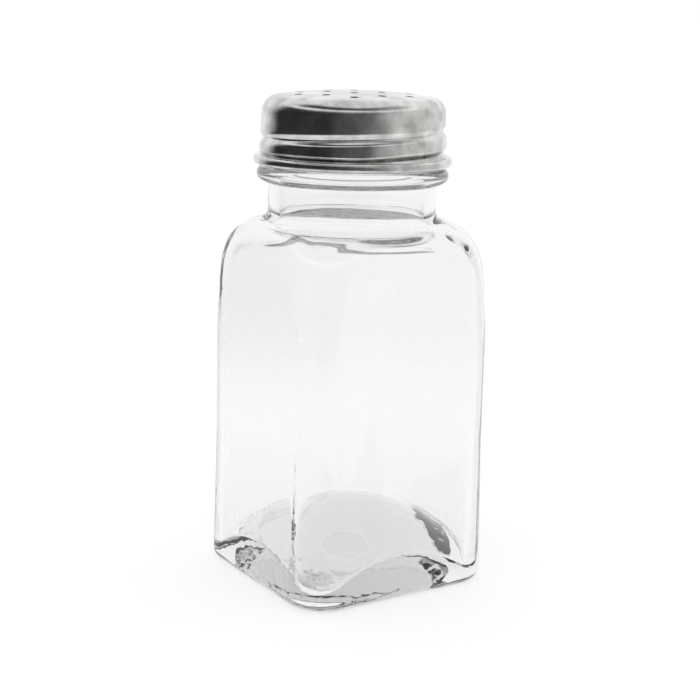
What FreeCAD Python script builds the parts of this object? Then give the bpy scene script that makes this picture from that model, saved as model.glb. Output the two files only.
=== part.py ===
"""Square glass table shaker with a perforated screw cap, in millimetres.

The jar stands on z = 0 with its axis on Z. Its front panel faces -Y.
"""
import FreeCAD, Part
import math
import os

from FreeCAD import Vector

# Driving dimensions of the jar
JAR_SIDE = 45.5  # across the flats of the straight part of the body
CORNER_RADIUS = 8.1
SHOULDER_START = 60.0  # height where the shoulder's curve begins
SHOULDER_HEIGHT = 16.3
SHOULDER_REACH = 1.0  # how far the shoulder's curve starts outside the corners
SHOULDER_BLEND = 5.0  # rounding between the shoulder and the four panels
NECK_HEIGHT = 24.7  # from the shoulder to the top of the finish
FLARE = 0.7  # each side moves out by this much at the foot
FLARE_HEIGHT = 30.0
HEEL_RADIUS = 2.4  # rounding of the outer bottom edge
WALL = 2.6
FLOOR_EDGE_HEIGHT = 2.6  # the inner floor's height in the corners
FLOOR_DOME_RADIUS = 34.0  # the inner floor is domed up in the middle
FLOOR_FILLET = 1.2
PUNT_RADIUS = 19.0  # edge of the hollow under the base
PUNT_DEPTH = 3.4

# Driving dimensions of the neck finish: 38 mm continuous thread, 6 turns to the inch
NECK_RADIUS = 17.45
NECK_WALL = 2.3
NECK_FOOT_FILLET = 1.6
LIP_RADIUS = 1.4  # outer rounding of the finish's top
LIP_INNER_RADIUS = 0.7
THREAD_PITCH = 25.4 / 6
THREAD_DEPTH = 1.05  # the glass thread stands out from the neck by this much
THREAD_CREST = 0.55  # half width of the rounded crest
THREAD_TAIL = 2.5  # the thread's slope is followed out to this many half widths
THREAD_TOP = 3.6  # from the finish's top down to the highest turn's centre
THREAD_TURNS = 1.5
THREAD_FADE = 40.0  # degrees over which a thread's end dies away
ROOT_DEPTH = 0.12  # a thread's foot starts this far under the skin that it rises from
BEAD_RADIUS = 1.6  # the transfer bead under the thread is a ring of this section
BEAD_STANDOUT = 2.4  # from the neck to the outside of the bead
BEAD_DROP = 15.35  # from the finish's top down to the bead's middle

# Driving dimensions of the cap, rolled from thin sheet
SHEET = 0.3
CAP_CORNER_RADIUS = 3.2
CAP_DOME_RADIUS = 120.0
SEAT_GAP = 0.1  # between the finish's lip and the cap
THREAD_CLEARANCE = 0.1  # between the glass thread's crest and the plain skirt
GROOVE_DEPTH = 0.65
GROOVE_WIDTH = 0.75
GROOVE_TURNS = 1.75
GROOVE_BOTTOM_HEIGHT = 1.07  # the lowest turn starts this far above the curl's middle
GROOVE_START_ANGLE = -122.9  # degrees about Z from +X
GROOVE_TAIL_BELOW = 2.0  # half widths under the curl's top that the groove's slope runs to
GROOVE_TAIL_ABOVE = 3.0  # half widths over the last turn that the groove's slope runs to
SKIRT_SWELL = 0.45  # the threaded skirt widens by this much towards its foot
SKIRT_SWELL_HEIGHT = 7.0
CREASE_HEIGHT = 1.1  # the swell closes again over this height, above the curl
CURL_WIDTH = 1.55
CURL_HEIGHT = 1.9
CURL_GAP = 0.05  # running clearance between the skirt and its rolled edge
CURL_MOUTH = 0.9  # height of the curl's opening towards the skirt
BEAD_CLEARANCE = 0.3  # between the bead and the foot of the cap
HOLE_RADIUS = 0.85
HOLE_PITCH = 6.4
HOLE_RINGS = 2
HOLE_ROW_ANGLE = 57.1  # degrees; one row of holes runs this way

# How the solids are worked out
OVERRUN = 1.0  # a cutting form runs past what it cuts by this much
TOUCH = 0.01  # edges are picked by height or reach within this
CREASE_MARGIN = 0.2  # the creases to round end at least this far under the shoulder's top
BAND_STEP = 0.55  # height between the sections of a threaded band
BAND_POINTS = 36  # points round each of those sections

# Heights and radii that follow
half = JAR_SIDE / 2
corner_reach = (half - CORNER_RADIUS) * math.sqrt(2) + CORNER_RADIUS
shoulder_top = SHOULDER_START + SHOULDER_HEIGHT
jar_top = shoulder_top + NECK_HEIGHT
neck_seam = shoulder_top + NECK_FOOT_FILLET  # the glass is one, and its two nodes meet here
bead_height = jar_top - BEAD_DROP
bore = NECK_RADIUS - NECK_WALL
thread_crest_radius = NECK_RADIUS + THREAD_DEPTH
glass_thread_top = jar_top - THREAD_TOP
skirt_radius = thread_crest_radius + THREAD_CLEARANCE + SHEET
curl_bottom = bead_height + BEAD_RADIUS + BEAD_CLEARANCE
curl_middle = curl_bottom + CURL_HEIGHT / 2
curl_top = curl_bottom + CURL_HEIGHT
groove_start_height = curl_middle + GROOVE_BOTTOM_HEIGHT
corner_centre_radius = skirt_radius - CAP_CORNER_RADIUS
lip_centre = Vector(NECK_RADIUS - LIP_RADIUS, 0, jar_top - LIP_RADIUS)


def arc(start, middle, end):
    return Part.Arc(start, middle, end).toShape()


def line(start, end):
    return Part.makeLine(start, end)


def at(radius, height):
    return Vector(radius, 0, height)


def on_circle(centre, radius, degrees):
    turn = math.radians(degrees)
    return centre + Vector(radius * math.cos(turn), 0, radius * math.sin(turn))


def spun(edges):
    """Solid of revolution about Z from a closed outline in the XZ plane."""
    outline = Part.Wire(Part.__sortEdges__(edges))
    return Part.Face(outline).revolve(Vector(0, 0, 0), Vector(0, 0, 1), 360)


def rounded_square(half_side, radius, height):
    """Closed wire of four sides and four arcs, at a height."""
    flat = half_side - radius
    diagonal = radius / math.sqrt(2)
    edges = []
    for quarter in range(4):
        turn = FreeCAD.Rotation(Vector(0, 0, 1), 90 * quarter)
        side_start = turn.multVec(Vector(half_side, -flat, 0))
        side_end = turn.multVec(Vector(half_side, flat, 0))
        arc_middle = turn.multVec(Vector(flat + diagonal, flat + diagonal, 0))
        arc_end = turn.multVec(Vector(flat, half_side, 0))
        edges.append(line(side_start, side_end))
        edges.append(arc(side_end, arc_middle, arc_end))
    wire = Part.Wire(Part.__sortEdges__(edges))
    wire.translate(Vector(0, 0, height))
    return wire


def prism(half_side, radius, low, high):
    return Part.Face(rounded_square(half_side, radius, low)).extrude(Vector(0, 0, high - low))


def shoulder_curve(centre_radius, centre_height, width, height):
    """Quarter ellipse from the shoulder's outer start up to the neck's foot."""
    centre = at(centre_radius, centre_height)
    top = at(centre_radius, centre_height + height)
    side = at(centre_radius + width, centre_height)
    ellipse = Part.Ellipse(top, side, centre) if height > width else Part.Ellipse(side, top, centre)
    first, last = sorted((ellipse.parameter(top), ellipse.parameter(side)))
    if last - first > math.pi:
        first, last = last, first + 2 * math.pi
    return Part.ArcOfEllipse(ellipse, first, last).toShape()


def shoulder_spin(inset):
    """Solid of revolution that rounds the top of a square prism, set in from the outer skin."""
    width = corner_reach + SHOULDER_REACH - NECK_RADIUS
    inner = NECK_RADIUS - inset
    outer = inner + width
    low = -OVERRUN
    high = shoulder_top - inset
    return spun([
        line(at(0, low), at(outer, low)),
        line(at(outer, low), at(outer, SHOULDER_START)),
        shoulder_curve(inner, SHOULDER_START, width, SHOULDER_HEIGHT - inset),
        line(at(inner, high), at(0, high)),
        line(at(0, high), at(0, low)),
    ])


def blended(body, radius, high):
    """Rounds the edges between the panels and the shoulder, whose top is at the height given."""
    creases = [e for e in body.Edges
               if e.BoundBox.ZMin > SHOULDER_START and e.BoundBox.ZMax < high - CREASE_MARGIN]
    return body.makeFillet(radius, creases)


def jar_body_outside():
    foot = Part.makeLoft([rounded_square(half + FLARE, CORNER_RADIUS + FLARE, 0),
                          rounded_square(half, CORNER_RADIUS, FLARE_HEIGHT)], True, True)
    body = foot.fuse(prism(half, CORNER_RADIUS, FLARE_HEIGHT, jar_top)).removeSplitter()
    body = blended(body.common(shoulder_spin(0)), SHOULDER_BLEND, shoulder_top)
    heel = [e for e in body.Edges if e.BoundBox.ZMax < TOUCH]
    return body.makeFillet(HEEL_RADIUS, heel)


def floor_height(radius):
    """Height of the domed inner floor above the base, at a distance from the axis."""
    drop = math.sqrt(FLOOR_DOME_RADIUS ** 2 - radius ** 2)
    return FLOOR_EDGE_HEIGHT + drop - math.sqrt(FLOOR_DOME_RADIUS ** 2 - (corner_reach - WALL) ** 2)


def jar_hollow():
    inner_half = half - WALL
    hollow = prism(inner_half, CORNER_RADIUS - WALL, 0, jar_top)
    hollow = hollow.common(shoulder_spin(WALL))
    hollow = blended(hollow, SHOULDER_BLEND - WALL / 2, shoulder_top - WALL)
    crown = floor_height(0)
    dome = Part.makeSphere(FLOOR_DOME_RADIUS, Vector(0, 0, crown - FLOOR_DOME_RADIUS))
    hollow = hollow.cut(dome)
    edge = [e for e in hollow.Edges if e.BoundBox.ZMax < floor_height(inner_half) + TOUCH]
    hollow = hollow.makeFillet(FLOOR_FILLET, edge)
    neck_low = shoulder_top - WALL - OVERRUN
    neck = Part.makeCylinder(bore, jar_top - neck_low, Vector(0, 0, neck_low))
    return hollow.fuse(neck)


def punt():
    """The shallow hollow under the base."""
    sphere_radius = (PUNT_RADIUS ** 2 + PUNT_DEPTH ** 2) / (2 * PUNT_DEPTH)
    return Part.makeSphere(sphere_radius, Vector(0, 0, PUNT_DEPTH - sphere_radius))


def ridge(distance, half_width):
    """Height, 0 to 1, of a rounded ridge at a distance from its crest."""
    return math.exp(-(distance / half_width) ** 2)


def helix_share(angle, height, start_angle, start_height, turns, half_width):
    """Height, 0 to 1, of a right-hand helical ridge at one point of a cylinder."""
    share = 0.0
    for turn in range(-1, math.ceil(turns) + 2):
        travelled = angle - start_angle + 360 * turn
        fade = min(travelled, 360 * turns - travelled) / THREAD_FADE
        if fade <= 0:
            continue
        fade = min(fade, 1.0)
        fade = fade * fade * (3 - 2 * fade)
        crest = start_height + THREAD_PITCH * travelled / 360
        share += fade * ridge(height - crest, half_width)
    return min(share, 1.0)


def threaded_band(low, high, radius_at):
    """Solid between two heights whose radius is a function of angle and height."""
    sections = []
    count = math.ceil((high - low) / BAND_STEP)
    for level in range(count + 1):
        height = low + (high - low) * level / count
        points = []
        for place in range(BAND_POINTS):
            degrees = 360 * place / BAND_POINTS
            radius = radius_at(degrees, height)
            turn = math.radians(degrees)
            points.append(Vector(radius * math.cos(turn), radius * math.sin(turn), height))
        curve = Part.BSplineCurve()
        curve.interpolate(Points=points, PeriodicFlag=True)
        sections.append(Part.Wire(curve.toShape()))
    return Part.makeLoft(sections, True, False)


def glass_thread_start():
    """Angle and height where the glass thread begins, half a pitch above the cap's groove."""
    height = glass_thread_top - THREAD_PITCH * THREAD_TURNS
    travelled = (height - THREAD_PITCH / 2 - groove_start_height) / THREAD_PITCH * 360
    return GROOVE_START_ANGLE + travelled, height


def neck_foot():
    """The rounded foot of the neck, from inside the shoulder up to where the neck's node begins."""
    foot = NECK_FOOT_FILLET
    foot_low = shoulder_top - WALL / 2
    foot_start = at(NECK_RADIUS + foot, shoulder_top)
    foot_middle = on_circle(at(NECK_RADIUS + foot, neck_seam), foot, 225)
    return spun([
        line(at(0, foot_low), at(NECK_RADIUS + foot, foot_low)),
        line(at(NECK_RADIUS + foot, foot_low), foot_start),
        arc(foot_start, foot_middle, at(NECK_RADIUS, neck_seam)),
        line(at(NECK_RADIUS, neck_seam), at(0, neck_seam)),
        line(at(0, neck_seam), at(0, foot_low)),
    ])


def glass_jar():
    """The jar up to the foot of its neck."""
    return jar_body_outside().fuse(neck_foot()).cut(jar_hollow()).cut(punt())


def glass_neck():
    """Neck with its transfer bead, helical thread and rounded lip, one glass with the jar."""
    start_angle, start_height = glass_thread_start()
    tail = THREAD_TAIL * THREAD_CREST
    low = start_height - tail
    high = min(glass_thread_top + tail, jar_top - LIP_RADIUS - TOUCH)

    def radius_at(degrees, height):
        share = helix_share(degrees, height, start_angle, start_height, THREAD_TURNS, THREAD_CREST)
        return NECK_RADIUS - ROOT_DEPTH + (THREAD_DEPTH + ROOT_DEPTH) * share

    bead_offset = BEAD_RADIUS - BEAD_STANDOUT
    bead_chord = math.sqrt(BEAD_RADIUS ** 2 - bead_offset ** 2)
    bead_under = at(NECK_RADIUS, bead_height - bead_chord)
    bead_over = at(NECK_RADIUS, bead_height + bead_chord)
    lip_start = at(NECK_RADIUS, jar_top - LIP_RADIUS)
    lip_end = at(NECK_RADIUS - LIP_RADIUS, jar_top)
    neck = spun([
        line(at(0, neck_seam), at(NECK_RADIUS, neck_seam)),
        line(at(NECK_RADIUS, neck_seam), bead_under),
        arc(bead_under, at(NECK_RADIUS + BEAD_STANDOUT, bead_height), bead_over),
        line(bead_over, lip_start),
        arc(lip_start, on_circle(lip_centre, LIP_RADIUS, 45), lip_end),
        line(lip_end, at(0, jar_top)),
        line(at(0, jar_top), at(0, neck_seam)),
    ])
    neck = neck.fuse(threaded_band(low, high, radius_at))
    length = jar_top - neck_seam + 2 * OVERRUN
    neck = neck.cut(Part.makeCylinder(bore, length, Vector(0, 0, neck_seam - OVERRUN)))
    mouth = [e for e in neck.Edges
             if e.BoundBox.ZMin > jar_top - TOUCH and e.BoundBox.XMax < bore + TOUCH]
    return neck.makeFillet(LIP_INNER_RADIUS, mouth)


def swell(height):
    """How far the threaded skirt stands out beyond the plain skirt, at a height."""
    opening = (curl_top + CREASE_HEIGHT + SKIRT_SWELL_HEIGHT - height) / SKIRT_SWELL_HEIGHT
    closing = (height - curl_top) / CREASE_HEIGHT
    return SKIRT_SWELL * min(max(min(opening, closing), 0.0), 1.0)


def groove_tool(inset):
    """Ring whose inner face bites into the skirt only along the helical groove."""
    low = curl_top - GROOVE_TAIL_BELOW * GROOVE_WIDTH
    high = groove_start_height + THREAD_PITCH * GROOVE_TURNS + GROOVE_TAIL_ABOVE * GROOVE_WIDTH

    def radius_at(degrees, height):
        share = helix_share(degrees, height, GROOVE_START_ANGLE, groove_start_height,
                            GROOVE_TURNS, GROOVE_WIDTH)
        skin = skirt_radius + swell(height) - inset
        return skin + ROOT_DEPTH - (GROOVE_DEPTH + ROOT_DEPTH) * share

    ring = Part.makeCylinder(skirt_radius + CURL_WIDTH, high - low, Vector(0, 0, low))
    return ring.cut(threaded_band(low - OVERRUN, high + OVERRUN, radius_at))


def cap_heights():
    """Heights of the corner circle's centre and of the dome's centre."""
    reach = CAP_CORNER_RADIUS - SHEET - SEAT_GAP - LIP_RADIUS
    corner = lip_centre.z - math.sqrt(reach ** 2 - (corner_centre_radius - lip_centre.x) ** 2)
    dome = corner - math.sqrt((CAP_DOME_RADIUS - CAP_CORNER_RADIUS) ** 2 - corner_centre_radius ** 2)
    return corner, dome


def cap_body(inset, low):
    """Filled form of the cap's outside, or of its inside when inset by the sheet."""
    corner_height, dome_height = cap_heights()
    corner = CAP_CORNER_RADIUS - inset
    centre = at(corner_centre_radius, corner_height)
    tilt = 90 - math.degrees(math.asin(corner_centre_radius / (CAP_DOME_RADIUS - CAP_CORNER_RADIUS)))
    join = on_circle(centre, corner, tilt)
    crown = dome_height + CAP_DOME_RADIUS - inset
    dome_middle = on_circle(at(0, dome_height), CAP_DOME_RADIUS - inset, (tilt + 90) / 2)
    plain = skirt_radius - inset
    swell_low = curl_top + CREASE_HEIGHT
    swell_high = swell_low + SKIRT_SWELL_HEIGHT
    filled = spun([
        arc(at(0, crown), dome_middle, join),
        arc(join, on_circle(centre, corner, tilt / 2), at(plain, corner_height)),
        line(at(plain, corner_height), at(plain, swell_high)),
        line(at(plain, swell_high), at(plain + SKIRT_SWELL, swell_low)),
        line(at(plain + SKIRT_SWELL, swell_low), at(plain, curl_top)),
        line(at(plain, curl_top), at(plain, low)),
        line(at(plain, low), at(0, low)),
        line(at(0, low), at(0, crown)),
    ])
    return filled.cut(groove_tool(inset))


def hole_places():
    """Triangular grid of holes, filled out to a number of rings."""
    turn = FreeCAD.Rotation(Vector(0, 0, 1), HOLE_ROW_ANGLE)
    places = []
    for column in range(-HOLE_RINGS, HOLE_RINGS + 1):
        for row in range(-HOLE_RINGS, HOLE_RINGS + 1):
            if abs(column + row) <= HOLE_RINGS:
                along = HOLE_PITCH * (row + column / 2)
                across = HOLE_PITCH * column * math.sqrt(3) / 2
                places.append(turn.multVec(Vector(along, across, 0)))
    return places


def cap_shell():
    outside = cap_body(0, curl_bottom)
    inside = cap_body(SHEET, curl_bottom - OVERRUN)
    corner_height, dome_height = cap_heights()
    drill_length = dome_height + CAP_DOME_RADIUS + OVERRUN - corner_height
    drills = []
    for place in hole_places():
        drills.append(Part.makeCylinder(HOLE_RADIUS, drill_length, place + Vector(0, 0, corner_height)))
    return outside.cut(inside).cut(drills)


def cap_curl():
    """The rolled edge: a sheet curled into an upright oval, open towards the skirt."""
    inner = skirt_radius + CURL_GAP
    middle = inner + CURL_WIDTH / 2
    flat = (CURL_HEIGHT - CURL_WIDTH) / 2

    def oval(inset):
        radius = CURL_WIDTH / 2 - inset
        high = at(middle, curl_middle + flat)
        low = at(middle, curl_middle - flat)
        left = middle - radius
        right = middle + radius
        return spun([
            arc(at(left, high.z), on_circle(high, radius, 90), at(right, high.z)),
            line(at(right, high.z), at(right, low.z)),
            arc(at(right, low.z), on_circle(low, radius, 270), at(left, low.z)),
            line(at(left, low.z), at(left, high.z)),
        ])

    mouth = Part.makeCylinder(middle - CURL_WIDTH / 4, CURL_MOUTH, Vector(0, 0, curl_middle - CURL_MOUTH / 2))
    return oval(0).cut(oval(SHEET)).cut(mouth)


os.makedirs("parts", exist_ok=True)
nodes = {"glass_jar": glass_jar, "glass_neck": glass_neck, "cap_shell": cap_shell, "cap_curl": cap_curl}
for name, make in nodes.items():
    solid = make()
    solid.exportStep("parts/" + name + ".step")
    print(name, len(solid.Solids), solid.isValid(), round(solid.Volume, 1), solid.BoundBox)
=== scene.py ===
import bmesh
import bpy
import math
from mathutils import Matrix, Vector


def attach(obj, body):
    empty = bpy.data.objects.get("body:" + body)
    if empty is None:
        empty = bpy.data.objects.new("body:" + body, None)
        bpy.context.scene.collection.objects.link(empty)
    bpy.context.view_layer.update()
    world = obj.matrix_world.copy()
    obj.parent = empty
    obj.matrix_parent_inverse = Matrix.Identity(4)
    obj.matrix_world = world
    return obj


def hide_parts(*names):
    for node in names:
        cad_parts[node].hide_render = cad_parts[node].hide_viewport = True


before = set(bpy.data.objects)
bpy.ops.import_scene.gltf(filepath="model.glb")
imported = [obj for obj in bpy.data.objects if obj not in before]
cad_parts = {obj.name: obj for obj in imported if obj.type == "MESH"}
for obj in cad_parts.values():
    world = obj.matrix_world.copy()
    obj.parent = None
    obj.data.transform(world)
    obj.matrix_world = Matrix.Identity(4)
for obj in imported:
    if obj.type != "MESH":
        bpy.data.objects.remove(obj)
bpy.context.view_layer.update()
scene = bpy.context.scene
scene.view_settings.view_transform = "Standard"

# Camera
# The lens, distance and height are those at which the jar's and the cap's outlines fall where
# the photograph has them. Azimuth is measured round the jar from its front panel.
camera_azimuth = math.radians(-32.87)
camera_distance = 0.3086
camera_height = 0.1183
camera_pitch = math.radians(12.81)
camera_roll = math.radians(1.24)
camera_aside = 0.00025
focal_pixels = 1491.5
picture_pixels = 700

camera_data = bpy.data.cameras.new("camera")
camera_data.sensor_width = 36
camera_data.lens = focal_pixels * camera_data.sensor_width / picture_pixels
camera_data.clip_start = 0.01
camera = bpy.data.objects.new("camera", camera_data)
back = Vector((math.sin(camera_azimuth), -math.cos(camera_azimuth), 0))
right = Vector((math.cos(camera_azimuth), math.sin(camera_azimuth), 0))
forward = -back * math.cos(camera_pitch) - Vector((0, 0, math.sin(camera_pitch)))
level_up = right.cross(forward)
picture_right = right * math.cos(camera_roll) + level_up * math.sin(camera_roll)
picture_up = level_up * math.cos(camera_roll) - right * math.sin(camera_roll)
camera.matrix_world = Matrix((
    (picture_right.x, picture_up.x, -forward.x, 0),
    (picture_right.y, picture_up.y, -forward.y, 0),
    (picture_right.z, picture_up.z, -forward.z, 0),
    (0, 0, 0, 1)))
camera.location = back * camera_distance + right * camera_aside + Vector((0, 0, camera_height))
bpy.context.collection.objects.link(camera)
scene.camera = camera

# Jar
# A blown jar of clear soda glass. Its square body, round shoulder, neck and thread are one
# piece from a two-part mould, with a heavy base pushed up in the middle.
mm = 0.001
half_side = 22.75
corner_radius = 8.1
wall = 2.6
foot_flare = 0.7
flare_height = 30.0
heel = 2.4
shoulder_start = 60.0
shoulder_height = 16.3
shoulder_reach = 1.0
shoulder_lean = 0.35
panel_blend = 4.2
neck_radius = 17.45
neck_foot = 2.2
neck_foot_inside = 4.6
bore_radius = neck_radius - 2.3
jar_top = 101.0
lip_outer = 1.4
lip_inner = 0.7
bead_middle = jar_top - 15.35
bead_section = 1.6
bead_standout = 2.4
floor_edge = 2.6
floor_dome = 34.0
floor_fillet = 1.2
punt_radius = 19.0
punt_depth = 3.4
thread_pitch = 25.4 / 6
thread_depth = 1.05
thread_crest = 0.55
thread_turns = 1.5
thread_fade = 40.0
thread_top = jar_top - 3.6
bead_clearance = 0.3
curl_height = 1.9
groove_above_curl = 1.07
groove_start_angle = -122.9
groove_start_height = bead_middle + bead_section + bead_clearance + curl_height / 2 + groove_above_curl
ring_points = 288
angles = [2 * math.pi * step / ring_points for step in range(ring_points)]
corner_reach = (half_side - corner_radius) * math.sqrt(2) + corner_radius


def square_radius(angle, half, radius):
    """Distance from the axis to a rounded square, in one direction."""
    turn = abs((angle + math.pi / 4) % (math.pi / 2) - math.pi / 4)
    flat = half - radius
    if half * math.tan(turn) <= flat:
        return half / math.cos(turn)
    along = flat * (math.cos(turn) + math.sin(turn))
    return along + math.sqrt(max(along ** 2 - 2 * flat ** 2 + radius ** 2, 0))


def soft_least(a, b, blend):
    """The lesser of two radii, with the edge between them rounded."""
    share = max(blend - abs(a - b), 0) / blend
    return min(a, b) - share * share * blend / 4


def thread_share(degrees, height, start_angle, start_height, turns, half_width):
    """How much of a right-hand helical ridge stands at one point of a cylinder, 0 to 1."""
    share = 0.0
    for turn in range(-1, math.ceil(turns) + 2):
        travelled = degrees - start_angle + 360 * turn
        fade = min(travelled, 360 * turns - travelled) / thread_fade
        if fade <= 0:
            continue
        fade = min(fade, 1.0)
        fade = fade * fade * (3 - 2 * fade)
        crest = start_height + thread_pitch * travelled / 360
        share += fade * math.exp(-((height - crest) / half_width) ** 2)
    return min(share, 1.0)


def floor_height(radius):
    """Height of the domed inner floor at a distance from the axis."""
    edge = corner_reach - wall
    return floor_edge + math.sqrt(floor_dome ** 2 - radius ** 2) - math.sqrt(floor_dome ** 2 - edge ** 2)


def shoulder_ring(turn, inset):
    """One ring of the shoulder: the square body rounded off by an elliptical one."""
    width = corner_reach + shoulder_reach - neck_radius
    round_radius = neck_radius - inset + width * math.cos(turn)
    height = shoulder_start + (shoulder_height - inset) * math.sin(turn)
    sides = [square_radius(a, half_side - inset, corner_radius - inset) for a in angles]
    return [(soft_least(s, round_radius, panel_blend), height) for s in sides]


def neck_foot_round(inset, neck, rounding):
    """The angle at which the shoulder ends, and the rings of the round from there up to the neck."""
    width = corner_reach + shoulder_reach - neck_radius
    rise = shoulder_height - inset
    low, high = 0.5, math.pi / 2
    for _ in range(40):
        turn = (low + high) / 2
        slope = math.atan2(rise * math.cos(turn), width * math.sin(turn))
        if neck_radius - inset + width * math.cos(turn) > neck + rounding * (1 - math.sin(slope)):
            low = turn
        else:
            high = turn
    middle = shoulder_start + rise * math.sin(turn) + rounding * math.cos(slope)
    sides = [square_radius(a, half_side - inset, corner_radius - inset) for a in angles]
    rows = []
    for tilt in steps(10, slope, math.pi / 2):
        radius = neck + rounding * (1 - math.sin(tilt))
        height = middle - rounding * math.cos(tilt)
        rows.append([(soft_least(s, radius, panel_blend), height) for s in sides])
    return turn, rows


def body_ring(height, inset):
    """One ring of the straight body, drawn in a little as the shoulder comes near."""
    flare = foot_flare * max(1 - height / flare_height, 0) if inset == 0 else 0
    near = corner_reach + shoulder_reach - inset + shoulder_lean * max(shoulder_start - height, 0)
    ring = []
    for a in angles:
        side = square_radius(a, half_side - inset + flare, corner_radius - inset + flare)
        ring.append((soft_least(side, near, panel_blend), height))
    return ring


def round_ring(radius, height):
    return [(radius, height)] * len(angles)


def steps(count, first=0.0, last=1.0):
    return [first + (last - first) * n / count for n in range(count + 1)]


rings = []
sphere = (punt_radius ** 2 + punt_depth ** 2) / (2 * punt_depth)
for share in steps(24, 0.04, 1.0):
    radius = punt_radius * share
    rings.append(round_ring(radius, punt_depth - sphere + math.sqrt(sphere ** 2 - radius ** 2)))
foot_half = half_side + foot_flare
foot_corner = corner_radius + foot_flare
heel_start = [square_radius(a, foot_half - heel, foot_corner - heel) for a in angles]
for share in (0.5, 1.0):
    rings.append([(punt_radius + (side - punt_radius) * share, 0) for side in heel_start])
for turn in steps(10, 9, 90):
    out = heel * (1 - math.sin(math.radians(turn)))
    up = heel * (1 - math.cos(math.radians(turn)))
    lean = foot_flare * up / flare_height
    rings.append([(square_radius(a, foot_half - lean - out, foot_corner - lean - out), up) for a in angles])
rings += [body_ring(height, 0) for height in steps(44, heel + 1, shoulder_start)]
shoulder_end, foot_rings = neck_foot_round(0, neck_radius, neck_foot)
rings += [shoulder_ring(turn, 0) for turn in steps(34, 0.03, shoulder_end)]
rings += foot_rings[1:]
bead_offset = bead_standout - bead_section
bead_chord = math.sqrt(bead_section ** 2 - bead_offset ** 2)
rings += [round_ring(neck_radius, height)
          for height in steps(6, foot_rings[-1][0][1] + 0.4, bead_middle - bead_chord - 0.1)]
for turn in steps(24, -118, 118):
    angle = math.radians(turn)
    rings.append(round_ring(neck_radius + bead_offset + bead_section * math.cos(angle),
                            bead_middle + bead_section * math.sin(angle)))
glass_thread_low = thread_top - thread_pitch * thread_turns
glass_thread_rise = glass_thread_low - thread_pitch / 2 - groove_start_height
glass_thread_angle = groove_start_angle + glass_thread_rise / thread_pitch * 360
for height in steps(48, bead_middle + bead_chord + 0.1, jar_top - lip_outer):
    rings.append([(neck_radius + thread_depth * thread_share(
        math.degrees(a), height, glass_thread_angle, glass_thread_low, thread_turns, thread_crest), height)
        for a in angles])
for turn in steps(7, 12, 90):
    angle = math.radians(turn)
    radius = neck_radius - lip_outer * (1 - math.cos(angle))
    rings.append(round_ring(radius, jar_top - lip_outer * (1 - math.sin(angle))))
for turn in steps(6, 0, 90):
    angle = math.radians(turn)
    radius = bore_radius + lip_inner * (1 - math.sin(angle))
    rings.append(round_ring(radius, jar_top - lip_inner * (1 - math.cos(angle))))
inner_end, inner_rings = neck_foot_round(wall, bore_radius, neck_foot_inside)
rings += [round_ring(bore_radius, height)
          for height in steps(26, jar_top - lip_inner - 0.5, inner_rings[-1][0][1] + 0.4)]
rings += inner_rings[::-1]
rings += [shoulder_ring(turn, wall) for turn in steps(30, inner_end, 0.03)[1:]]
wall_low = [floor_height(square_radius(a, half_side - wall, corner_radius - wall)) for a in angles]
for share in steps(40, 0.0, 1.0):
    ring = []
    for a, low in zip(angles, wall_low):
        height = shoulder_start + (low + floor_fillet - shoulder_start) * share
        near = corner_reach + shoulder_reach - wall + shoulder_lean * (shoulder_start - height)
        side = square_radius(a, half_side - wall, corner_radius - wall)
        ring.append((soft_least(side, near, panel_blend), height))
    rings.append(ring)
for turn in steps(5, 18, 90):
    angle = math.radians(turn)
    ring = []
    for a, low in zip(angles, wall_low):
        side = square_radius(a, half_side - wall, corner_radius - wall)
        radius = side - floor_fillet * (1 - math.cos(angle))
        height = floor_height(radius) + floor_fillet * (1 - math.sin(angle))
        ring.append((radius, height))
    rings.append(ring)
for share in steps(26, 0.97, 0.04):
    ring = []
    for a in angles:
        radius = (square_radius(a, half_side - wall, corner_radius - wall) - floor_fillet) * share
        ring.append((radius, floor_height(radius)))
    rings.append(ring)


def ring_mesh(name, rings, start_height=None, end_height=None, closed=False):
    """Smooth mesh through rings of (radius, height), with a point or nothing at each end."""
    mesh = bmesh.new()
    rows = []
    for ring in rings:
        rows.append([mesh.verts.new((r * math.cos(a) * mm, r * math.sin(a) * mm, z * mm))
                     for a, (r, z) in zip(angles, ring)])
    count = len(angles)
    pairs = list(zip(rows, rows[1:]))
    if closed:
        pairs.append((rows[-1], rows[0]))
    for low, high in pairs:
        for n in range(count):
            mesh.faces.new((low[n], low[(n + 1) % count], high[(n + 1) % count], high[n]))
    if start_height is not None:
        pole = mesh.verts.new((0, 0, start_height * mm))
        for n in range(count):
            mesh.faces.new((pole, rows[0][(n + 1) % count], rows[0][n]))
    if end_height is not None:
        pole = mesh.verts.new((0, 0, end_height * mm))
        for n in range(count):
            mesh.faces.new((pole, rows[-1][n], rows[-1][(n + 1) % count]))
    for face in mesh.faces:
        face.smooth = True
    data = bpy.data.meshes.new(name)
    mesh.to_mesh(data)
    mesh.free()
    piece = bpy.data.objects.new(name, data)
    bpy.context.collection.objects.link(piece)
    return piece


jar = ring_mesh("jar_of_clear_glass", rings, punt_depth, floor_height(0))

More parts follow.
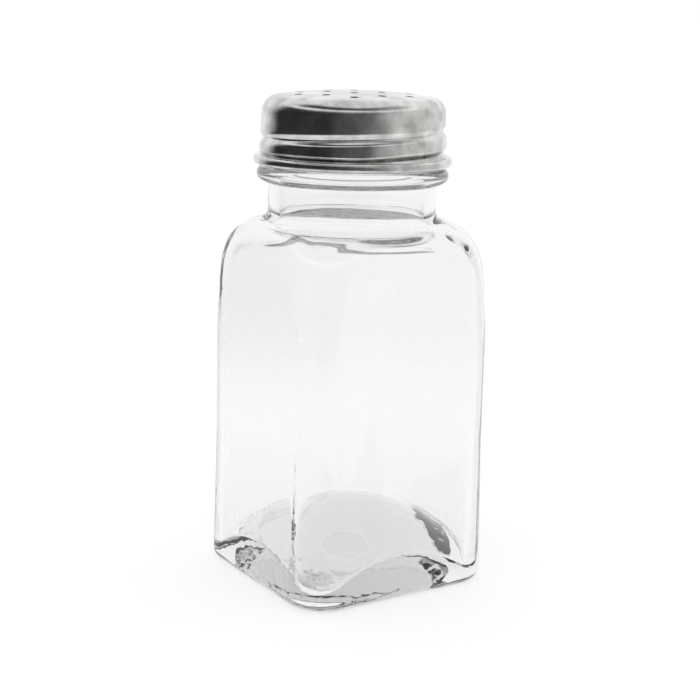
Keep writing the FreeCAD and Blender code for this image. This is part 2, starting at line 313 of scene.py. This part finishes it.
clear_glass = bpy.data.materials.new("clear_glass")
clear_glass.use_nodes = True
nodes, links = clear_glass.node_tree.nodes, clear_glass.node_tree.links
glass = nodes["Principled BSDF"]
glass.inputs["Base Color"].default_value = (0.988, 0.985, 0.985, 1)
glass.inputs["Transmission Weight"].default_value = 1
glass.inputs["IOR"].default_value = 1.52
place = nodes.new("ShaderNodeTexCoord")
ripple = nodes.new("ShaderNodeTexNoise")
ripple.inputs["Scale"].default_value = 80
ripple.inputs["Detail"].default_value = 3
bump = nodes.new("ShaderNodeBump")
bump.inputs["Distance"].default_value = 0.0006
height = nodes.new("ShaderNodeSeparateXYZ")
chill = nodes.new("ShaderNodeMapRange")
chill.inputs["From Min"].default_value = 5 * mm
chill.inputs["From Max"].default_value = 20 * mm
chill.inputs["To Min"].default_value = 1.0
chill.inputs["To Max"].default_value = 0.1
links.new(place.outputs["Object"], height.inputs[0])
links.new(height.outputs["Z"], chill.inputs["Value"])
links.new(chill.outputs["Result"], bump.inputs["Strength"])
haze = nodes.new("ShaderNodeMapRange")
haze.inputs["From Min"].default_value = 0.4
haze.inputs["From Max"].default_value = 0.8
haze.inputs["To Min"].default_value = 0.0
haze.inputs["To Max"].default_value = 0.03
links.new(place.outputs["Object"], ripple.inputs["Vector"])
links.new(ripple.outputs["Fac"], bump.inputs["Height"])
links.new(ripple.outputs["Fac"], haze.inputs["Value"])
links.new(haze.outputs["Result"], glass.inputs["Roughness"])
links.new(bump.outputs["Normal"], glass.inputs["Normal"])
depth = nodes.new("ShaderNodeVolumeAbsorption")
depth.inputs["Color"].default_value = (0.5, 0.5, 0.5, 1)
depth.inputs["Density"].default_value = 17
links.new(depth.outputs["Volume"], nodes["Material Output"].inputs["Volume"])
jar.data.materials.append(clear_glass)
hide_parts("glass_jar", "glass_neck")
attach(jar, "jar")

# Cap shell
# Thin sheet steel, pressed to a domed top with punched holes. The skirt's thread is rolled in
# over a former, so the same groove shows inside and out.
sheet = 0.3
thread_clearance = 0.1
seat_gap = 0.1
skirt = neck_radius + thread_depth + thread_clearance + sheet
cap_corner = 3.2
cap_dome = 120.0
groove_depth = 0.65
groove_width = 0.75
groove_turns = 1.75
swell_size = 0.45
swell_run = 7.0
curl_low = bead_middle + bead_section + bead_clearance
curl_high = curl_low + curl_height
crease = 1.1
lip_height = jar_top - lip_outer
lip_reach = cap_corner - sheet - seat_gap - lip_outer
corner_middle = skirt - cap_corner
corner_height = lip_height - math.sqrt(lip_reach ** 2 - (corner_middle - neck_radius + lip_outer) ** 2)
dome_middle = corner_height - math.sqrt((cap_dome - cap_corner) ** 2 - corner_middle ** 2)
dome_edge = math.asin(corner_middle / (cap_dome - cap_corner))


def skirt_radius(degrees, height):
    """Radius of the rolled skirt's outside."""
    opening = (curl_high + crease + swell_run - height) / swell_run
    closing = (height - curl_high) / crease
    swell = min(max(min(opening, closing), 0), 1)
    swell = swell * swell * (3 - 2 * swell)
    groove = thread_share(degrees, height, groove_start_angle, groove_start_height,
                          groove_turns, groove_width)
    return skirt + swell_size * swell - groove_depth * groove


def cap_rings(inset):
    rows = []
    dome = cap_dome - inset
    for share in steps(34, 0.03, 1.0):
        turn = dome_edge * share
        rows.append(round_ring(dome * math.sin(turn), dome_middle + dome * math.cos(turn)))
    start = math.pi / 2 - dome_edge
    for share in steps(16, 0.06, 1.0):
        turn = start * (1 - share)
        rows.append(round_ring(corner_middle + (cap_corner - inset) * math.cos(turn),
                               corner_height + (cap_corner - inset) * math.sin(turn)))
    for height in steps(62, corner_height - 0.25, curl_low + 0.15):
        rows.append([(skirt_radius(math.degrees(a), height) - inset, height) for a in angles])
    return rows


outside = cap_rings(0)
inside = cap_rings(sheet)
cap = ring_mesh("cap_of_pressed_steel", inside + list(reversed(outside)),
                dome_middle + cap_dome - sheet, dome_middle + cap_dome)


def add_node(tree, kind, **settings):
    node = tree.nodes.new(kind)
    for key, value in settings.items():
        setattr(node, key, value)
    return node


# The punched holes stand on a triangular grid, two rings round the middle one.
punch = bpy.data.node_groups.new("punched_holes", "GeometryNodeTree")
punch.interface.new_socket("Geometry", in_out="INPUT", socket_type="NodeSocketGeometry")
punch_sockets = (
    ("Hole Radius", "NodeSocketFloat"),
    ("Pitch", "NodeSocketFloat"),
    ("Rings", "NodeSocketInt"),
    ("Row Angle", "NodeSocketFloat"),
    ("Height", "NodeSocketFloat"),
    ("Finish", "NodeSocketMaterial"))
for label, kind in punch_sockets:
    punch.interface.new_socket(label, in_out="INPUT", socket_type=kind)
punch.interface.new_socket("Geometry", in_out="OUTPUT", socket_type="NodeSocketGeometry")
entry = punch.nodes.new("NodeGroupInput")
leave = punch.nodes.new("NodeGroupOutput")


def maths(tree, operation, first, second=None, third=None):
    node = add_node(tree, "ShaderNodeMath", operation=operation)
    for slot_number, value in enumerate((first, second, third)):
        if value is None:
            continue
        if isinstance(value, (int, float)):
            node.inputs[slot_number].default_value = value
        else:
            tree.links.new(value, node.inputs[slot_number])
    return node.outputs[0]


across = maths(punch, "MULTIPLY_ADD", entry.outputs["Rings"], 2, 1)
grid = punch.nodes.new("GeometryNodeMeshGrid")
span = maths(punch, "MULTIPLY", entry.outputs["Rings"], 2)
for socket in ("Size X", "Size Y"):
    punch.links.new(span, grid.inputs[socket])
for socket in ("Vertices X", "Vertices Y"):
    punch.links.new(across, grid.inputs[socket])
spot = punch.nodes.new("GeometryNodeInputPosition")
split = punch.nodes.new("ShaderNodeSeparateXYZ")
punch.links.new(spot.outputs[0], split.inputs[0])
column, row = split.outputs["X"], split.outputs["Y"]
beyond = maths(punch, "GREATER_THAN", maths(punch, "ABSOLUTE", maths(punch, "ADD", column, row)),
               maths(punch, "ADD", entry.outputs["Rings"], 0.1))
trim = add_node(punch, "GeometryNodeDeleteGeometry", domain="POINT")
punch.links.new(grid.outputs["Mesh"], trim.inputs["Geometry"])
punch.links.new(beyond, trim.inputs["Selection"])
along_row = maths(punch, "MULTIPLY", maths(punch, "MULTIPLY_ADD", column, 0.5, row), entry.outputs["Pitch"])
across_row = maths(punch, "MULTIPLY", maths(punch, "MULTIPLY", column, math.sqrt(3) / 2),
                   entry.outputs["Pitch"])
join = punch.nodes.new("ShaderNodeCombineXYZ")
punch.links.new(along_row, join.inputs["X"])
punch.links.new(across_row, join.inputs["Y"])
punch.links.new(entry.outputs["Height"], join.inputs["Z"])
turned = add_node(punch, "ShaderNodeVectorRotate", rotation_type="Z_AXIS")
punch.links.new(join.outputs[0], turned.inputs["Vector"])
punch.links.new(entry.outputs["Row Angle"], turned.inputs["Angle"])
put = punch.nodes.new("GeometryNodeSetPosition")
punch.links.new(trim.outputs["Geometry"], put.inputs["Geometry"])
punch.links.new(turned.outputs[0], put.inputs["Position"])
drill = punch.nodes.new("GeometryNodeMeshCylinder")
drill.inputs["Vertices"].default_value = 40
drill.inputs["Depth"].default_value = 6 * mm
punch.links.new(entry.outputs["Hole Radius"], drill.inputs["Radius"])
spread = punch.nodes.new("GeometryNodeInstanceOnPoints")
punch.links.new(put.outputs["Geometry"], spread.inputs["Points"])
punch.links.new(drill.outputs["Mesh"], spread.inputs["Instance"])
whole = punch.nodes.new("GeometryNodeRealizeInstances")
punch.links.new(spread.outputs["Instances"], whole.inputs["Geometry"])
cutter = add_node(punch, "GeometryNodeMeshBoolean", operation="DIFFERENCE", solver="EXACT")
punch.links.new(entry.outputs["Geometry"], cutter.inputs["Mesh 1"])
punch.links.new(whole.outputs["Geometry"], cutter.inputs["Mesh 2"])
solid = punch.nodes.new("GeometryNodeRealizeInstances")
punch.links.new(cutter.outputs["Mesh"], solid.inputs["Geometry"])
crisp = add_node(punch, "GeometryNodeSetShadeSmooth", domain="EDGE")
edge_angle = punch.nodes.new("GeometryNodeInputMeshEdgeAngle")
smooth_edge = maths(punch, "LESS_THAN", edge_angle.outputs["Unsigned Angle"], math.radians(40))
punch.links.new(solid.outputs["Geometry"], crisp.inputs["Geometry"])
punch.links.new(smooth_edge, crisp.inputs["Shade Smooth"])
paint = punch.nodes.new("GeometryNodeSetMaterial")
punch.links.new(crisp.outputs["Geometry"], paint.inputs["Geometry"])
punch.links.new(entry.outputs["Finish"], paint.inputs["Material"])
punch.links.new(paint.outputs["Geometry"], leave.inputs["Geometry"])

polished_steel = bpy.data.materials.new("polished_steel")
polished_steel.use_nodes = True
nodes, links = polished_steel.node_tree.nodes, polished_steel.node_tree.links
steel = nodes["Principled BSDF"]
steel.inputs["Metallic"].default_value = 1
place = nodes.new("ShaderNodeTexCoord")
tone = nodes.new("ShaderNodeTexNoise")
tone.inputs["Scale"].default_value = 260
tone.inputs["Detail"].default_value = 6
colour = nodes.new("ShaderNodeValToRGB")
colour.color_ramp.elements[0].position = 0.35
colour.color_ramp.elements[0].color = (0.46, 0.46, 0.45, 1)
colour.color_ramp.elements[1].position = 0.68
colour.color_ramp.elements[1].color = (0.78, 0.78, 0.77, 1)
stretch = nodes.new("ShaderNodeMapping")
stretch.inputs["Scale"].default_value = (60, 60, 1600)
lines = nodes.new("ShaderNodeTexNoise")
lines.inputs["Scale"].default_value = 1.0
lines.inputs["Detail"].default_value = 4
rough = nodes.new("ShaderNodeMapRange")
rough.inputs["From Min"].default_value = 0.35
rough.inputs["From Max"].default_value = 0.75
rough.inputs["To Min"].default_value = 0.1
rough.inputs["To Max"].default_value = 0.26
bump = nodes.new("ShaderNodeBump")
bump.inputs["Strength"].default_value = 0.12
bump.inputs["Distance"].default_value = 0.00005
links.new(place.outputs["Object"], tone.inputs["Vector"])
links.new(place.outputs["Object"], stretch.inputs["Vector"])
links.new(stretch.outputs["Vector"], lines.inputs["Vector"])
links.new(tone.outputs["Fac"], colour.inputs["Fac"])
links.new(colour.outputs["Color"], steel.inputs["Base Color"])
links.new(lines.outputs["Fac"], rough.inputs["Value"])
links.new(rough.outputs["Result"], steel.inputs["Roughness"])
links.new(lines.outputs["Fac"], bump.inputs["Height"])
links.new(bump.outputs["Normal"], steel.inputs["Normal"])

holes = cap.modifiers.new("holes", "NODES")
holes.node_group = punch
settings = {"Hole Radius": 0.85 * mm, "Pitch": 6.4 * mm, "Rings": 2, "Row Angle": math.radians(57.1),
            "Height": (dome_middle + cap_dome) * mm, "Finish": polished_steel}
for item in punch.interface.items_tree:
    if item.name in settings and item.in_out == "INPUT":
        holes[item.identifier] = settings[item.name]
plain = bpy.data.meshes.new_from_object(cap.evaluated_get(bpy.context.evaluated_depsgraph_get()))
cap.modifiers.clear()
cap.data = plain
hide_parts("cap_shell")
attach(cap, "cap")

# Rolled edge
# The foot of the skirt is curled outwards and back against itself, which stiffens the cap and
# keeps the cut edge of the sheet away from the fingers.
curl_width = 1.55
curl_gap = 0.05
curl_middle = skirt + curl_gap + curl_width / 2
curl_flat = (curl_height - curl_width) / 2
curl_centre = (curl_low + curl_high) / 2
rows = []
for turn in steps(40, 208, -152):
    angle = math.radians(turn)
    lift = curl_flat if math.sin(angle) > 0 else -curl_flat
    radius = curl_middle + curl_width / 2 * math.cos(angle)
    rows.append(round_ring(radius, curl_centre + lift + curl_width / 2 * math.sin(angle)))
curl = ring_mesh("rolled_edge", rows[:-1][::-1], closed=True)
curl.data.materials.append(polished_steel)
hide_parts("cap_curl")
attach(curl, "cap_foot")

# Floor and light
# A white table under even white light, with a dark room behind the camera. The metal shows the
# table near the jar, and the room beyond it.
scene.cycles.max_bounces = 32
scene.cycles.transmission_bounces = 32
scene.cycles.glossy_bounces = 16
floor_mesh = bpy.data.meshes.new("floor")
reach = 20.0
floor_corners = [(-reach, -reach, 0), (reach, -reach, 0), (reach, reach, 0), (-reach, reach, 0)]
floor_mesh.from_pydata(floor_corners, [], [(0, 1, 2, 3)])
floor = bpy.data.objects.new("floor", floor_mesh)
bpy.context.collection.objects.link(floor)


def ramp(tree, value, low, high, first, last):
    """A smooth change from first to last as a value goes from low to high."""
    node = add_node(tree, "ShaderNodeMapRange", interpolation_type="SMOOTHSTEP")
    for label, number in (("From Min", low), ("From Max", high), ("To Min", first), ("To Max", last)):
        node.inputs[label].default_value = number
    tree.links.new(value, node.inputs["Value"])
    return node.outputs["Result"]


floor_paint = bpy.data.materials.new("floor_paint")
floor_paint.use_nodes = True
nodes, links = floor_paint.node_tree.nodes, floor_paint.node_tree.links
nodes.remove(nodes["Principled BSDF"])
matte = nodes.new("ShaderNodeBsdfDiffuse")
matte.inputs["Color"].default_value = (0.3, 0.3, 0.3, 1)
shine = nodes.new("ShaderNodeEmission")
ray = nodes.new("ShaderNodeLightPath")
paint_tree = floor_paint.node_tree
table_glow = 0.74
bounced = maths(paint_tree, "MAXIMUM", ray.outputs["Is Glossy Ray"], ray.outputs["Is Transmission Ray"])
seen = maths(paint_tree, "MAXIMUM", ray.outputs["Is Camera Ray"], bounced)
links.new(maths(paint_tree, "MULTIPLY", seen, table_glow), shine.inputs["Strength"])
both = nodes.new("ShaderNodeAddShader")
links.new(matte.outputs[0], both.inputs[0])
links.new(shine.outputs[0], both.inputs[1])
where = nodes.new("ShaderNodeTexCoord")
away = add_node(paint_tree, "ShaderNodeVectorMath", operation="LENGTH")
links.new(where.outputs["Object"], away.inputs[0])
table_fades = 0.12
table_ends = 0.34
beyond_table = ramp(paint_tree, away.outputs["Value"], table_fades, table_ends, 0, 1)
see_through = nodes.new("ShaderNodeBsdfTransparent")
surface = nodes.new("ShaderNodeMixShader")
unseen = maths(paint_tree, "MULTIPLY", beyond_table, ray.outputs["Is Glossy Ray"])
links.new(unseen, surface.inputs[0])
links.new(both.outputs[0], surface.inputs[1])
links.new(see_through.outputs[0], surface.inputs[2])
links.new(surface.outputs[0], nodes["Material Output"].inputs["Surface"])
floor_mesh.materials.append(floor_paint)

world = bpy.data.worlds.new("studio")
scene.world = world
world.use_nodes = True
studio = world.node_tree
nodes, links = studio.nodes, studio.links
sky = nodes["Background"]
sky.inputs["Color"].default_value = (1, 1, 1, 1)
ray = nodes.new("ShaderNodeLightPath")
way = nodes.new("ShaderNodeTexCoord")


def towards(direction):
    """How nearly a ray heads in one level direction, -1 to 1."""
    dot = add_node(studio, "ShaderNodeVectorMath", operation="DOT_PRODUCT")
    dot.inputs[1].default_value = direction
    links.new(way.outputs["Generated"], dot.inputs[0])
    return dot.outputs["Value"]


room_side = ramp(studio, towards(back - Vector((0, 0, 0.45))), -0.75, -0.25, 0, 1)
room_top = ramp(studio, towards((0, 0, 1)), 0.86, 0.95, 1, 0)
room_wall = ramp(studio, towards(right), -0.7, 0.3, 0.96, 0.86)
room_window = ramp(studio, towards(right), 0.2, 0.95, 1, 0.3)
room_lamp = maths(studio, "MULTIPLY", ramp(studio, towards((0, 0, 1)), 0.5, 0.6, 0, 1),
                  ramp(studio, towards((0, 0, 1)), 0.66, 0.76, 1, 0))
room_lamp = maths(studio, "SUBTRACT", 1, room_lamp)
metal_room = maths(studio, "MULTIPLY", maths(studio, "MULTIPLY", room_side, room_top),
                   maths(studio, "MULTIPLY", room_wall, room_window))
metal_room = maths(studio, "MULTIPLY", metal_room, room_lamp)
glass_room = maths(studio, "MULTIPLY", ramp(studio, towards(back), 0.6, 0.95, 0, 0.4), room_top)
metal_level = maths(studio, "SUBTRACT", 1, metal_room)
glass_level = maths(studio, "SUBTRACT", 1, glass_room)
choice = add_node(studio, "ShaderNodeMix", data_type="FLOAT")
links.new(ray.outputs["Is Transmission Ray"], choice.inputs["Factor"])
links.new(metal_level, choice.inputs["A"])
links.new(glass_level, choice.inputs["B"])
plain_light = maths(studio, "MAXIMUM", ray.outputs["Is Camera Ray"], ray.outputs["Is Diffuse Ray"])
links.new(maths(studio, "MAXIMUM", choice.outputs["Result"], plain_light), sky.inputs["Strength"])
